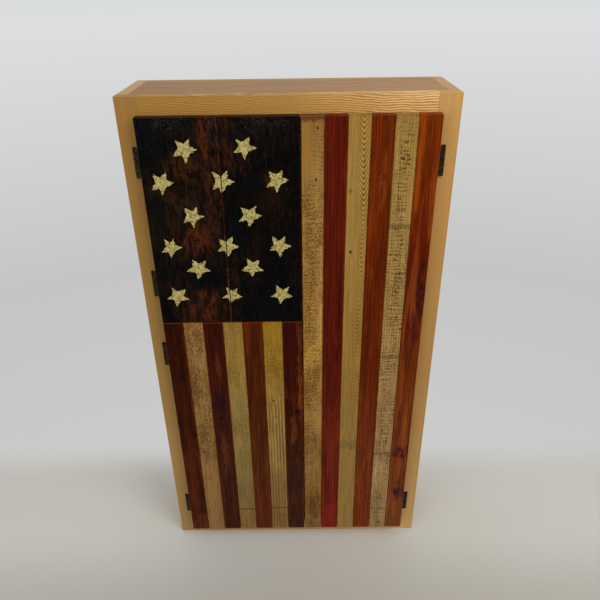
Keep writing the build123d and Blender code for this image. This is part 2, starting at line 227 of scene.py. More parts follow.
# Noise fields of a board: cycles per metre across and along the grain, shift, detail, roughness
FIELDS = {
    "slow": (30.0, 9.0, 5.0, 2.0, 0.55),
    "sway": (7.0, 3.2, 1.0, 2.0, 0.55),
    "ripple": (90.0, 26.0, 2.0, 3.0, 0.55),
    "patchy": (24.0, 6.0, 3.0, 2.0, 0.55),
    "knot_wobble": (260.0, 200.0, 9.0, 2.0, 0.55),
    "fine": (950.0, 24.0, 4.0, 3.0, 0.6),
    "middling": (420.0, 13.0, 10.0, 3.0, 0.6),
    "broad": (150.0, 5.0, 6.0, 3.0, 0.6),
    "cloud": (75.0, 26.0, 16.0, 4.0, 0.65),
    "grit": (330.0, 42.0, 18.0, 4.0, 0.7),
    "fleck_place": (38.0, 15.0, 11.0, 2.0, 0.55),
    "saw_drift": (12.0, 34.0, 17.0, 3.0, 0.55),
    "saw_tooth": (95.0, 620.0, 12.0, 3.0, 0.7),
    "saw_place": (48.0, 11.0, 13.0, 3.0, 0.55),
    "saw_fibre": (420.0, 60.0, 19.0, 3.0, 0.6),
    "edge_rag": (300.0, 60.0, 15.0, 3.0, 0.6),
}

KNOT_STRETCH = 0.62
KNOT_RAG = 0.9
KNOT_CORE, KNOT_RIM, KNOT_PUSH_RIM = 0.4, 1.25, 3.2
KNOT_PUSH = 2.6
KNOT_DEEP = 0.5
SWAY_SHIFT = 0.020
SWAY_PHASE = 2.0
RIPPLE_PHASE = 0.9
LATE_RISE, LATE_FALL = (0.34, 0.80), (1.0, 0.88)
EARLY_RISE, EARLY_FALL = (0.02, 0.14), (0.50, 0.20)
PALE_RING = (1.45, 1.42, 1.4, 1.0)
PATCHY_RANGE = (0.30, 0.62)
PATCHY_SHARE = 0.55
FIBRE_SHARES = {"fine": 1.2, "middling": 2.0, "broad": 1.8}
FIBRE_RELIEF, RING_RELIEF = 0.35, -0.5
ROUGH_FINE, ROUGH_SLOW, ROUGH_LATE = 0.3, 0.25, -0.05
BAND_RAG, BAND_CORE = 1.2, 0.3
EDGE_RAG, EDGE_CORE = 2.4, 0.2
PATCH_RIM, PATCH_CORE = 1.35, 0.35
CLOUD_SIZE, GRIT_SIZE = 2.8, 3.6
FLECK_FADE, FLECK_GATHER = 0.02, 0.5
MARK_DEEP = 0.9
SAW_BOW = 12.0
SAW_DRIFT = 26.0
SAW_RIPPLE = 2.5
SAW_MIDDLE = -9.0
SAW_PLACE_RANGE, SAW_FIBRE_RANGE = (0.28, 0.56), (0.36, 0.52)
SAW_CONTRAST, SAW_RELIEF = 0.10, 0.12
BACK_RAG = 0.004
BACK_FADE = (0.0035, 0.0015)
BACK_AMOUNT = 0.96


def tone_stops(codes):
    """Ramp stops, evenly spaced, from colours given from the far end of the board to its start."""
    codes = codes.split()[::-1]
    return [(index / max(1, len(codes) - 1), hexed(code)) for index, code in enumerate(codes)]


class Wood(Finish):
    """Material of one board, laid on in layers.

    The board's own coordinates are a (across), t (along the grain) and d (through the board), from
    its centre. Lengths are given in millimetres, with a from the board's centre line and t in the
    part's frame. Each colour layer is a six-digit code laid on where its mask is 1.
    """

    def __init__(self, name, node, grain, across, seed):
        super().__init__(name)
        low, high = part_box(node)
        centre = (low + high) / 2
        place = self.place(centre)
        axes = (AXES[across], AXES[grain], 3 - AXES[across] - AXES[grain])
        self.a, self.t, self.d = [place[axis] for axis in axes]
        self.length, self.depth = high[axes[1]] - low[axes[1]], high[axes[2]] - low[axes[2]]
        self.middle = centre[axes[1]]
        self.far = 3.7 * seed + 1.3
        self.made = {}

    def stretched(self, across_scale, along_scale, shift):
        """Noise coordinates stretched along the grain, far from those of other boards."""
        return self.vector(self.math("MULTIPLY_ADD", self.a, across_scale, self.far + shift),
                           self.math("MULTIPLY_ADD", self.t, along_scale, 2.0 * self.far - shift),
                           self.math("MULTIPLY_ADD", self.d, across_scale, shift))

    def field(self, name):
        """One of the named noise fields, made once."""
        if name not in self.made:
            across_scale, along_scale, shift, detail, rough = FIELDS[name]
            self.made[name] = self.noise(self.stretched(across_scale, along_scale, shift), detail, rough)
        return self.made[name]

    def swing(self, name, size):
        """A named field, centred on zero and scaled by size."""
        return self.times(self.math("SUBTRACT", self.field(name), 0.5), size)

    def along_from(self, height):
        """Distance along the grain from a place in the part's frame."""
        return self.math("SUBTRACT", self.t, height * MM - self.middle)

    def stain(self, mask, code):
        """Lays a colour on where the mask is 1."""
        self.colour = self.mix(mask, self.colour, hexed(code))

    def carve(self, mask, code, deep):
        """Lays a colour on and sinks the surface there."""
        self.stain(mask, code)
        self.height = self.add(self.height, self.times(mask, -deep))

    def tone(self, codes, drift):
        """Base colour along the board."""
        along = self.math("MULTIPLY_ADD", self.t, 1.0 / self.length, 0.5)
        self.colour = self.ramp(self.add(along, self.swing("slow", drift)), tone_stops(codes))

    def find_knots(self, knots):
        """Mask of the knots, and how far they push the rings aside."""
        self.push = 0.0
        self.knot_mask = 0.0
        for knot_a, knot_t, size, strength in knots:
            off_a = self.math("SUBTRACT", self.a, knot_a * MM)
            size = size * MM
            away = self.reach(off_a, self.times(self.along_from(knot_t), KNOT_STRETCH))
            away = self.add(away, self.swing("knot_wobble", size * KNOT_RAG))
            core = size * KNOT_CORE
            self.push = self.add(self.push, self.step(away, size * KNOT_PUSH_RIM, core, KNOT_PUSH))
            self.knot_mask = self.math("MAXIMUM", self.knot_mask,
                                       self.step(away, size * KNOT_RIM, core, strength))

    def rings(self, ring, line, ring_across, ring_along):
        """Growth rings: bands of sqrt((a - a0)^2 + (d + depth)^2) / spacing + t / arch, bent by slow
        noise, so that their lines run straight or close into arches."""
        spacing, a0, depth, arch, bend, strength = ring
        off = self.add(self.math("SUBTRACT", self.a, a0 * MM), self.swing("sway", SWAY_SHIFT * bend))
        radius = self.reach(off, self.math("ADD", self.d, depth * MM))
        turn = self.math("FRACT", self.add(
            self.times(radius, 1.0 / (spacing * MM)), self.times(self.t, 1.0 / (arch * MM)),
            self.swing("ripple", RIPPLE_PHASE * bend), self.swing("sway", SWAY_PHASE * bend), self.push))
        self.late = self.times(self.step(turn, *LATE_RISE), self.step(turn, *LATE_FALL))
        patchy = self.step(self.field("patchy"), *PATCHY_RANGE)
        self.shown = strength
        if ring_across:
            start, full = ring_across
            self.shown = self.step(self.add(self.a, self.swing("sway", SWAY_SHIFT / 2)),
                                   start * MM, full * MM, self.shown)
        if ring_along:
            start, full = ring_along
            self.shown = self.times(self.shown, self.step(self.along_from(0.0), start * MM, full * MM))
        uneven = self.math("MULTIPLY_ADD", patchy, PATCHY_SHARE, 1.0 - PATCHY_SHARE)
        ring_mask = self.times(self.late, uneven, self.shown)
        early = self.times(self.step(turn, *EARLY_RISE), self.step(turn, *EARLY_FALL), patchy)
        pale = self.mix(1.0, self.colour, PALE_RING, "MULTIPLY")
        self.colour = self.mix(self.times(early, self.shown), self.colour, pale)
        self.stain(ring_mask, line)

    def fibres(self, strength):
        """Three sizes of noise stretched along the grain, as lighter and darker streaks."""
        streak = self.add(*[self.swing(name, share) for name, share in FIBRE_SHARES.items()])
        shade = self.tree.nodes.new("ShaderNodeHueSaturation")
        self.feed(shade.inputs["Value"], self.math("MULTIPLY_ADD", streak, 2.0 * strength, 1.0))
        self.feed(shade.inputs["Color"], self.colour)
        self.colour = shade.outputs[0]
        self.height = self.add(self.times(self.field("fine"), FIBRE_RELIEF),
                               self.times(self.late, self.shown, RING_RELIEF))

    def patches(self, patches):
        """Ovals of (code, a, z, reach across, reach along, amount), with ragged outlines."""
        if patches:
            cloud = self.add(self.swing("cloud", CLOUD_SIZE), self.swing("grit", GRIT_SIZE))
        for code, at_a, at_t, reach_a, reach_t, amount in patches:
            off_a = self.times(self.math("SUBTRACT", self.a, at_a * MM), 1.0 / (reach_a * MM))
            off_t = self.times(self.along_from(at_t), 1.0 / (reach_t * MM))
            away = self.add(self.reach(off_a, off_t), cloud)
            self.stain(self.step(away, PATCH_RIM, PATCH_CORE, amount), code)

    def blotches(self, blotches):
        """Thresholded noise of (code, cycles across, cycles along, start, full, amount)."""
        for code, scale_a, scale_t, start, full, amount in blotches:
            blot = self.noise(self.stretched(scale_a, scale_t, 7.0 + scale_a * 0.1), 4.0, 0.62, 0.4)
            self.stain(self.step(blot, start, full, amount), code)

    def bands(self, bands):
        """Stripes across the board of (code, z, width, amount)."""
        for code, at, width, amount in bands:
            near = self.add(self.along_from(at), self.swing("ripple", BAND_RAG * width * MM))
            near = self.math("ABSOLUTE", near)
            self.stain(self.step(near, width * MM, width * BAND_CORE * MM, amount), code)

    def flecks(self, code, scale_a, scale_t, start, full, amount, from_t, to_t):
        """Small sunk specks between two heights."""
        speck = self.noise(self.stretched(scale_a, scale_t, 8.0), 3.0, 0.7)
        speck = self.add(speck, self.swing("fleck_place", FLECK_GATHER))
        reach = self.times(self.step(self.along_from(from_t), -FLECK_FADE, FLECK_FADE),
                           self.step(self.along_from(to_t), FLECK_FADE, -FLECK_FADE))
        self.carve(self.times(self.step(speck, start, full, amount), reach), code, MARK_DEEP)

    def saw_marks(self, code, pitch, start, full, amount):
        """Bowed saw cuts, a sine of t / pitch + a^2, broken up where the fibres stand proud."""
        phase = self.add(self.times(self.t, 2.0 * math.pi / (pitch * MM)),
                         self.times(self.a, self.a, SAW_BOW / (pitch * MM)),
                         self.swing("saw_drift", SAW_DRIFT), self.swing("ripple", SAW_RIPPLE))
        cut = self.math("SINE", phase)
        rough_cut = self.add(self.times(cut, SAW_CONTRAST), self.field("saw_tooth"))
        where = self.add(self.field("saw_place"), self.times(self.math("ABSOLUTE", self.a), SAW_MIDDLE))
        mask = self.times(self.step(rough_cut, start, full, amount), self.step(where, *SAW_PLACE_RANGE),
                          self.step(self.field("saw_fibre"), *SAW_FIBRE_RANGE))
        self.carve(mask, code, MARK_DEEP)
        self.height = self.add(self.height, self.times(cut, SAW_RELIEF))

    def worn_edge(self, code, width, amount):
        """Colour of the wood where the stain is rubbed off the arrises."""
        margin = self.add(self.attribute("edge"), self.swing("edge_rag", EDGE_RAG * width * MM))
        self.stain(self.step(margin, width * MM, width * EDGE_CORE * MM, amount), code)

    def bare_back(self, code):
        """Unstained wood on the back of the board."""
        half = self.depth / 2
        bare = self.add(self.d, self.swing("slow", BACK_RAG))
        self.stain(self.step(bare, half - BACK_FADE[0], half - BACK_FADE[1], BACK_AMOUNT), code)

    def polish(self, gloss, shine, relief):
        """Feeds the shader and gives back the material."""
        self.set("Base Color", self.colour)
        self.set("Roughness", self.add(self.swing("fine", ROUGH_FINE), self.swing("slow", ROUGH_SLOW),
                                       self.times(self.late, ROUGH_LATE), gloss))
        self.surface.inputs["Specular IOR Level"].default_value = shine
        self.bump(self.height, relief * MM)
        return self.material


def wood(name, node, grain, across, tones, ring, line, fibre, gloss, seed, shine=0.05, relief=0.3,
         drift=0.16, patches=(), blotches=(), bands=(), knots=(), knot_colour="2A1A12",
         ring_across=None, ring_along=None, fleck=None, saw=None, edge=None, back=None):
    """Material of one board, with its layers in the order in which they lie."""
    board = Wood(name, node, grain, across, seed)
    board.tone(tones, drift)
    board.find_knots(knots)
    board.rings(ring, line, ring_across, ring_along)
    board.fibres(fibre)
    board.patches(patches)
    board.blotches(blotches)
    board.bands(bands)
    if fleck:
        board.flecks(*fleck)
    if saw:
        board.saw_marks(*saw)
    if knots:
        board.carve(board.knot_mask, knot_colour, KNOT_DEEP)
    if edge:
        board.worn_edge(*edge)
    if back:
        board.bare_back(back)
    return board.polish(gloss, shine, relief)


# Planks

LATTICE = 64
SMOOTH_ANGLE = 38
ARC_STEPS, SIDE_STEPS = 5, 3
SIDE_CLEAR = 1.6
CUT_GAP = 0.03
DENT_GRID, DENT_SPREAD = 1.4, 1.6
END_TURNS = (0, 18, 36, 54, 72, 90)
WEAR_LENGTH, WEAR_FADE = 23.0, 20.0
BACK_EDGE, END_EDGE = 30.0, 12.0
ON_PLANE, HEAD_SPREAD, LEAF_GAP = 0.05, 4.0, 30.0


def value_noise(x, y, seed):
    """Random heights on a unit lattice, blended between lattice points by 3 f^2 - 2 f^3."""
    table = np.random.default_rng(seed).random((LATTICE, LATTICE))
    x, y = np.broadcast_arrays(np.asarray(x, float), np.asarray(y, float))
    cell_x, cell_y = np.floor(x).astype(int), np.floor(y).astype(int)
    part_x, part_y = x - cell_x, y - cell_y
    part_x, part_y = part_x ** 2 * (3 - 2 * part_x), part_y ** 2 * (3 - 2 * part_y)
    left, right = cell_x % LATTICE, (cell_x + 1) % LATTICE
    low, high = [table[left, y] * (1 - part_x) + table[right, y] * part_x
                 for y in (cell_y % LATTICE, (cell_y + 1) % LATTICE)]
    return low * (1 - part_y) + high * part_y


def lines_between(low, high, step, marks, reach):
    """Grid lines about one step apart, with closer lines round each mark."""
    count = max(2, int(round((high - low) / step)) + 1)
    parts = [np.linspace(low, high, count)]
    for mark in marks:
        near = mark + reach * np.array([-1.15, -1.0, -0.85, -0.5, 0.0, 0.5, 0.85, 1.0, 1.15])
        parts.append(near[(near > low) & (near < high)])
    return np.unique(np.round(np.concatenate(parts), 5))


def add_mesh(name, points, faces, material, edge=None):
    """Mesh object at the origin from an array of points and a list of faces."""
    mesh = bpy.data.meshes.new(name)
    mesh.from_pydata(points.tolist(), [], faces)
    if edge is not None:
        layer = mesh.attributes.new("edge", "FLOAT", "POINT")
        layer.data.foreach_set("value", np.ascontiguousarray(edge, np.float32))
    mesh.polygons.foreach_set("use_smooth", np.ones(len(mesh.polygons), bool))
    mesh.set_sharp_from_angle(angle=math.radians(SMOOTH_ANGLE))
    mesh.update()
    piece = bpy.data.objects.new(name, mesh)
    bpy.context.scene.collection.objects.link(piece)
    mesh.materials.append(material)
    return piece


def grid_faces(rows, columns, wrap=False):
    """Quads of a grid of points stored row after row; wrap joins the last column to the first."""
    across = columns if wrap else columns - 1
    row, column = np.meshgrid(np.arange(rows - 1), np.arange(across), indexing="ij")
    after = (column + 1) % columns
    quads = np.stack([row * columns + column, row * columns + after,
                      (row + 1) * columns + after, (row + 1) * columns + column], axis=-1)
    return quads.reshape(-1, 4).tolist()


def closed_faces(rows, columns, flip):
    """Faces of a tube of points with both ends capped, turned over where flip is true."""
    faces = grid_faces(rows, columns, wrap=True)
    faces.append(list(range(columns))[::-1])
    faces.append(list(range((rows - 1) * columns, rows * columns)))
    return [face[::-1] for face in faces] if flip else faces


def waviness(across, along, seed):
    """Waviness of a planed face, from 0 to 1: broad noise and a third as much finer noise."""
    broad = value_noise(across / 17.0 + 40.0, along / 60.0, seed + 5)
    return 0.72 * broad + 0.28 * value_noise(across / 6.0 + 7.0, along / 21.0, seed + 9)


def plank_grid(width, length, most, step, dents, cuts):
    """Lines across and along a plank's face, closer round dents and just beside each cut's border."""
    clear, gap = SIDE_CLEAR * most, np.array([-CUT_GAP, CUT_GAP])
    a_lines = lines_between(clear - width / 2, width / 2 - clear, step[0],
                            [dent[0] for dent in dents], DENT_GRID)
    t_lines = lines_between(clear, length - clear, step[1], [dent[1] for dent in dents], DENT_GRID)
    for across_span, along_span, _ in cuts:
        for value in across_span:
            if abs(value) < width / 2 - most:
                a_lines = np.union1d(a_lines, np.round(value + gap, 3))
        for value in along_span:
            t_lines = np.union1d(t_lines, np.round(value + gap, 3))
    return a_lines, t_lines


def plank_section(width, depth, radius, clear, a_lines):
    """Rounded rectangle at each station, as offsets across and through the board: the front, the right
    arrises and side, the back, then the left side. Each arris is a quarter circle of that radius."""
    stations = len(radius)
    arc = np.radians(np.linspace(0, 90, ARC_STEPS))[None, :]
    side = np.broadcast_to(np.linspace(clear, depth - clear, SIDE_STEPS), (stations, SIDE_STEPS))
    front = np.broadcast_to(a_lines[None, :], (stations, len(a_lines)))
    flat = np.full(side.shape, width / 2)
    right_front = (width / 2 - radius + radius * np.sin(arc), radius - radius * np.cos(arc))
    right_back = (width / 2 - radius + radius * np.cos(arc), depth - radius + radius * np.sin(arc))
    a_parts = [front, right_front[0], flat, right_back[0],
               front[:, ::-1], -right_back[0][:, ::-1], -flat, -right_front[0][:, ::-1]]
    d_parts = [np.zeros_like(front), right_front[1], side, right_back[1],
               np.full_like(front, depth), right_back[1][:, ::-1], side[:, ::-1], right_front[1][:, ::-1]]
    return np.concatenate(a_parts, axis=1), np.concatenate(d_parts, axis=1)


def cut_depth(a, t, cuts, outside, inside):
    """Depth at each point: inside(depth of the cut, what was there) within each cut, else outside."""
    level = np.full(a.shape, outside)
    for (left, right), (bottom, top), deep in cuts:
        within = (a > left) & (a < right) & (t > bottom) & (t < top)
        level = np.where(within, inside(deep, level), level)
    return level


def plank(name, node, grain, face, material, arris=0.8, wear=0.4, step=(5.0, 8.0), wave=0.0, sunk=0.0,
          dents=(), pockets=(), rebates=(), seed=1):
    """Closed board that stands for a CAD board.

    A rounded rectangle is carried along the grain. At each station the arris radius is
    arris * (1 + wear * noise), and the end stations draw in by r (1 - cos) to round the ends. The
    front face sinks by sunk + wave * waviness and by a round dent at each dent. It is cut flat to a
    pocket's depth inside each pocket, and the back face inside each rebate. Lengths are in
    millimetres, face is the signed axis that the front looks along, and the result is in metres.
    """
    low, high = (np.array(corner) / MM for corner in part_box(node))
    along_axis, depth_axis = AXES[grain], AXES[face[1]]
    across_axis = 3 - along_axis - depth_axis
    width, length = high[across_axis] - low[across_axis], high[along_axis] - low[along_axis]
    depth = high[depth_axis] - low[depth_axis]
    most = arris * (1 + wear)
    middle, start = (low[across_axis] + high[across_axis]) / 2, low[along_axis]
    dents = [(a - middle, t - start, spread, deep) for a, t, spread, deep in dents]
    pockets, rebates = [[(np.array(across) - middle, np.array(along) - start, deep)
                         for across, along, deep in cuts] for cuts in (pockets, rebates)]
    a_lines, inner = plank_grid(width, length, most, step, dents, pockets + rebates)
    turn = np.radians(END_TURNS[::-1])
    ends = arris * (1 - np.sin(turn))
    draw = arris * (1 - np.cos(turn))
    stations = np.concatenate([ends, inner, length - ends[::-1]])
    inset = np.concatenate([draw, np.zeros(len(inner)), draw[::-1]])[:, None]
    here = stations[:, None]
    radius = arris * (1 + wear * (2 * value_noise(here / WEAR_LENGTH, seed * 0.37, seed) - 1)
                      * np.minimum(1, np.minimum(here, length - here) / WEAR_FADE))

    a, d = plank_section(width, depth, radius, SIDE_CLEAR * most, a_lines)
    t = np.broadcast_to(here, a.shape)
    edge = np.where(d < 0.5 * depth, np.maximum(width / 2 - np.abs(a), d), BACK_EDGE)
    edge = np.minimum(edge, np.minimum(t, length - t) + np.minimum(d, END_EDGE))
    front_share = np.clip(1 - d / most, 0, 1)
    hollow = sunk + wave * waviness(a + middle, t + start, seed)
    for dent_a, dent_t, spread, deep in dents:
        away = np.hypot(a - dent_a, t - dent_t) / spread
        hollow = np.maximum(hollow, deep * np.clip(DENT_SPREAD * (1 - away ** 4), 0, 1))
    cut = cut_depth(a, t, pockets, 0.0, np.maximum)
    floor = cut_depth(a, t, rebates, depth, lambda deep, _: depth - deep)
    a = a * (width / 2 - inset) / (width / 2)
    d = depth / 2 + (d - depth / 2) * (depth / 2 - inset) / (depth / 2)
    d = np.minimum(np.maximum(d + front_share * hollow, cut), floor)

    outward = 1.0 if face[0] == "+" else -1.0
    points = np.empty(a.shape + (3,))
    points[..., along_axis] = low[along_axis] + t
    points[..., across_axis] = middle + a
    points[..., depth_axis] = high[depth_axis] - d if outward > 0 else low[depth_axis] + d
    # the turning sense of (across, along, depth) says whether the faces already look outwards
    sense = np.linalg.det(np.eye(3)[[across_axis, along_axis, depth_axis]]) * -outward
    faces = closed_faces(*a.shape, sense > 0)
    return add_mesh(name, points.reshape(-1, 3) * MM, faces, material, edge=edge.ravel() * MM)


def node_points(node):
    """Vertices of a CAD node, in millimetres."""
    mesh = NODES[node].data
    points = np.empty(len(mesh.vertices) * 3)
    mesh.vertices.foreach_get("co", points)
    return points.reshape(-1, 3) / MM


def heads_on(node, axis, value):
    """Centres, in millimetres, of a node's fastener heads that end on the plane axis = value."""
    points = node_points(node)
    points = points[np.abs(points[:, axis] - value) < ON_PLANE]
    centres = []
    while len(points):
        near = np.linalg.norm(points - points[0], axis=1) < HEAD_SPREAD
        centres.append(points[near].mean(axis=0))
        points = points[~near]
    return centres


def finished(piece, body, node):
    """Puts a piece in the place of a CAD node, on its body."""
    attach(piece, body)
    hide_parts(node)


# Stars

STAR_RADIUS = 21.0
STAR_WAIST = 0.48
STAR_RAG = 2.0
TIP_VARY, WAIST_TURN, WAIST_VARY = 0.07, 0.05, 0.08
POINT_TURN, SIZE_VARY = 3.5, 0.05
OUTLINE_SEED, STAR_SEED = 800, 700
PAINT = 0.22
FLAT_SHARE = 0.9
UNDER, UNDER_RIM = 0.5, 0.3
CANTON_SUNK = 0.28
CANTON_WAVE = 0.22
CANTON_SEED = 31
SEAM_CLEAR = 0.85
SEAM_BRIDGE = 2.5


def star_outline(points_at, size, seed, per_side=7):
    """Closed outline of a hand-cut star as (x, z) offsets: straight sides from tip to waist to tip,
    each pushed out or in by up to STAR_RAG of noise that fades at the tips."""
    rng = np.random.default_rng(seed)
    tips = np.sort(np.radians(points_at))
    reach = size * (1 + TIP_VARY * (2 * rng.random(5) - 1))
    gaps = (np.roll(tips, -1) - tips) % (2 * np.pi)
    waists = tips + gaps * (0.5 + WAIST_TURN * (2 * rng.random(5) - 1))
    pull = size * STAR_WAIST * (1 + WAIST_VARY * (2 * rng.random(5) - 1))
    corner_angle = np.stack([tips, waists], axis=1).ravel()
    corner_reach = np.stack([reach, pull], axis=1).ravel()
    corners = np.stack([corner_reach * np.cos(corner_angle), corner_reach * np.sin(corner_angle)], axis=1)
    share = (np.arange(per_side) / per_side)[None, :, None]
    sides = corners[:, None, :] * (1 - share) + np.roll(corners, -1, axis=0)[:, None, :] * share
    rag = STAR_RAG * (2 * rng.random(sides.shape[:2]) - 1) * np.sin(np.pi * share[..., 0]) ** 0.5
    normal = sides / np.linalg.norm(sides, axis=2, keepdims=True)
    return (sides + normal * rag[..., None]).reshape(-1, 2)


def star_piece(name, outline, centre, hub, seam, face_y, material):
    """One painted star, or the part of it on one side of the boards' seam.

    Rings of the outline shrink towards the hub. The skin lies PAINT above the board's face and its
    last rings roll down by PAINT * (1 - sqrt(1 - s^2)); the underside lies inside the board.
    """
    rim = outline + np.array(centre)
    hub = np.array(hub)
    if seam is not None:
        past = (rim[:, 0] - hub[0]) / (seam - hub[0])
        rim = hub + (rim - hub) / np.maximum(past, 1.0)[:, None]
    rings = np.concatenate([np.linspace(0.08, FLAT_SHARE, 9), [0.95, 0.98, 1.0]])[:, None, None]
    grid = hub + (rim - hub)[None] * rings
    roll = np.clip((rings[..., 0] - FLAT_SHARE) / (1 - FLAT_SHARE), 0, 1)
    drop = PAINT * (1 - np.sqrt(1 - roll ** 2)) * np.ones(grid.shape[:2])
    board = CANTON_SUNK + CANTON_WAVE * waviness(grid[..., 0], grid[..., 1], CANTON_SEED)
    top = np.stack([grid[..., 0], face_y + board - PAINT + drop, grid[..., 1]], axis=-1)
    under = top[::-1] + np.array([0.0, UNDER, 0.0])
    under[0, :, 1] = top[-1, :, 1] + UNDER_RIM
    skin = np.concatenate([top, under], axis=0)
    area = np.cross(rim - hub, np.roll(rim, -1, axis=0) - hub).sum()
    return add_mesh(name, skin.reshape(-1, 3) * MM, closed_faces(*skin.shape[:2], area > 0), material)


# Hardware finishes

STAIN_CELLS, BRUSH_CELLS, PIT_CELLS = (160.0,) * 3, (900.0, 900.0, 60.0), (1500.0,) * 3
SCRATCHES = 0.15
TEXTURE_CELLS, SCUFF_CELLS = (2200.0,) * 3, (90.0,) * 3


def metal(name, base, stain, rough, stain_amount=0.7, metallic=1.0):
    """Handled metal: a stain in blotches, brushed scratches and a little pitting."""
    finish = Finish(name)
    blotch, brush, pit = [finish.cells(scales, detail, 0.6) for scales, detail in
                          ((STAIN_CELLS, 4.0), (BRUSH_CELLS, 3.0), (PIT_CELLS, 2.0))]
    colour = finish.mix(finish.step(blotch, 0.40, 0.62, stain_amount), hexed(base), hexed(stain))
    colour = finish.mix(finish.step(pit, 0.60, 0.72, 0.5), colour, hexed(stain))
    finish.set("Base Color", colour)
    finish.surface.inputs["Metallic"].default_value = metallic
    finish.set("Roughness", finish.add(finish.times(blotch, 0.25), finish.times(brush, SCRATCHES),
                                       rough - 0.2))
    finish.bump(finish.add(brush, finish.times(pit, 0.8)), 0.05 * MM)
    return finish.material


def plastic(name, base, scuff):
    """Moulded plastic with fine texture and pale scuffs."""
    finish = Finish(name)
    fine, wide = finish.cells(TEXTURE_CELLS), finish.cells(SCUFF_CELLS, 4.0)
    finish.set("Base Color", finish.mix(finish.step(wide, 0.52, 0.68, 0.6), hexed(base), hexed(scuff)))
    finish.set("Roughness", finish.add(finish.times(wide, 0.3), 0.3))
    finish.bump(fine, 0.03 * MM)
    return finish.material


HARDWARE = {
    "aged_bronze": metal("aged_bronze", "40392A", "14120C", 0.36),
    "screw_steel": metal("screw_steel", "8C8878", "4A4234", 0.42),
    "brad_steel": metal("brad_steel", "9A8460", "6E5430", 0.55, metallic=0.4),
    "strike_steel": metal("strike_steel", "A9A69E", "6E6A60", 0.36, 0.4),
    "pin_brass": metal("pin_brass", "B99A54", "6E5527", 0.34),
    "magnet": metal("magnet", "57534F", "2E2B29", 0.5, metallic=0.6),
    "catch_plastic": plastic("catch_plastic", "4A3524", "7A634C"),
}

PLAIN_NODES = {
    "aged_bronze": ("canton_frame_leaves", "lower_left_frame_leaves", "right_frame_leaves", "hinge_pins",
                    "canton_door_leaves", "lower_left_door_leaves", "right_door_leaves"),
    "screw_steel": ("frame_small_screws", "canton_small_screws", "lower_left_small_screws",
                    "right_small_screws", "canton_batten_screws", "lower_left_batten_screws",
                    "right_batten_screws"),
    "brad_steel": ("frame_brads", "case_brads"),
    "strike_steel": ("canton_strike", "lower_left_strike", "right_strike"),
    "pin_brass": ("shelf_pins",),
    "magnet": ("catch_magnets",),
    "catch_plastic": ("catch_bodies",),
}


def dress(node, material):
    """Puts a finish on a CAD node's own slots."""
    for slot in NODES[node].material_slots:
        slot.material = material


for slot_name, node_names in PLAIN_NODES.items():
    for node_name in node_names:
        dress(node_name, HARDWARE[slot_name])


# Case

CASE_PINE = dict(line="7E5524", fibre=0.05, gloss=0.42, shine=0.1, relief=0.08,
                 edge=("C79A5C", 0.7, 0.35), blotches=[("A87A3E", 30, 7, 0.45, 0.7, 0.35)])
TOP_PINE = dict(line="7A4E22", fibre=0.16, gloss=0.5, relief=0.15, edge=("C9A268", 0.7, 0.4),
                blotches=[("8E7660", 24, 6, 0.46, 0.66, 0.5)])
BACK_PINE = dict(line="86592A", fibre=0.14, gloss=0.55, relief=0.15, knot_colour="4A2A14",
                 knots=[(-120, 700, 8, 0.9), (90, 300, 10, 0.9), (170, 820, 6, 0.85)])
INNER_PINE = dict(line="946430", fibre=0.10, gloss=0.55, relief=0.1)
BATTEN_PINE = dict(line="8A5C2A", fibre=0.12, gloss=0.6, relief=0.12)
# The frame's tones are partly painted light: the left stile and the left ends of the rails are darker and
# the right stile and the right ends lighter, as light falling from the right would make them, laid over the
# wood's own tone
FRAME = (
    ("stile_left", "z", "x", "9E743A 9C763C 9E7A40 AA844E A27E4E", (5.5, -46, 14, 1600, 0.7, 0.10), 2),
    ("stile_right", "z", "x", "C8995A BC8C4E B4864A B68E54 C49C62", (6.0, 44, 16, 1800, 0.6, 0.05), 3),
    ("top_rail", "x", "z", "EABE7E CE9E5E B88E48 AE823E AA7E3A", (3.4, -30, 9, 330, 1.7, 0.7), 5),
    ("bottom_rail", "x", "z", "C49A62 B98F56 AE8450 A67C48", (4.0, 30, 12, 1100, 0.7, 0.16), 6),
)
FRAME_LEAVES = {"stile_left": ("canton_frame_leaves", "lower_left_frame_leaves"),
                "stile_right": ("right_frame_leaves",)}
SHAPE_BY_GRAIN = {"z": dict(arris=0.55, wear=0.1), "x": dict(arris=0.6, wear=0.15)}
HINGE_AXIS = 257.0
FRAME_LEAF = 14.7
LEAF_HALF = 25.15
BARREL_HALF = 26.5
BARREL_GROOVE = 3.25
LEAF_SUNK = 1.56
BARREL_SUNK = 1.95
DOOR_LEAF = 27.15
BRAD_DENT = (1.75, 0.08)


def hinge_heights(node):
    """Middle heights of a body's hinge leaves, in millimetres, told apart by gaps along z."""
    heights = np.unique(np.round(node_points(node)[:, 2], 2))
    groups = np.split(heights, np.where(np.diff(heights) > LEAF_GAP)[0] + 1)
    return [(group[0] + group[-1]) / 2 for group in groups]


def brad_dents(node, axis, value, across_axis, along_axis, box_of):
    """Shallow dents round the flush brad heads that fall on one node's face."""
    low, high = (np.array(corner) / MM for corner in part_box(box_of))
    dents = []
    for head in heads_on(node, axis, value):
        if (low[across_axis] < head[across_axis] < high[across_axis]
                and low[along_axis] < head[along_axis] < high[along_axis]):
            dents.append((head[across_axis], head[along_axis]) + BRAD_DENT)
    return dents


def mortises(stile):
    """Pockets for the frame leaves and grooves for the barrels in a stile's face."""
    sign = -1 if stile == "stile_left" else 1
    leaf = sorted((sign * (HINGE_AXIS - FRAME_LEAF), sign * HINGE_AXIS))
    groove = sorted((sign * (HINGE_AXIS - BARREL_GROOVE), sign * (HINGE_AXIS + BARREL_GROOVE)))
    pockets = []
    for leaves in FRAME_LEAVES.get(stile, ()):
        for height in hinge_heights(leaves):
            pockets.append((leaf, (height - LEAF_HALF, height + LEAF_HALF), LEAF_SUNK))
            pockets.append((groove, (height - BARREL_HALF, height + BARREL_HALF), BARREL_SUNK))
    return pockets


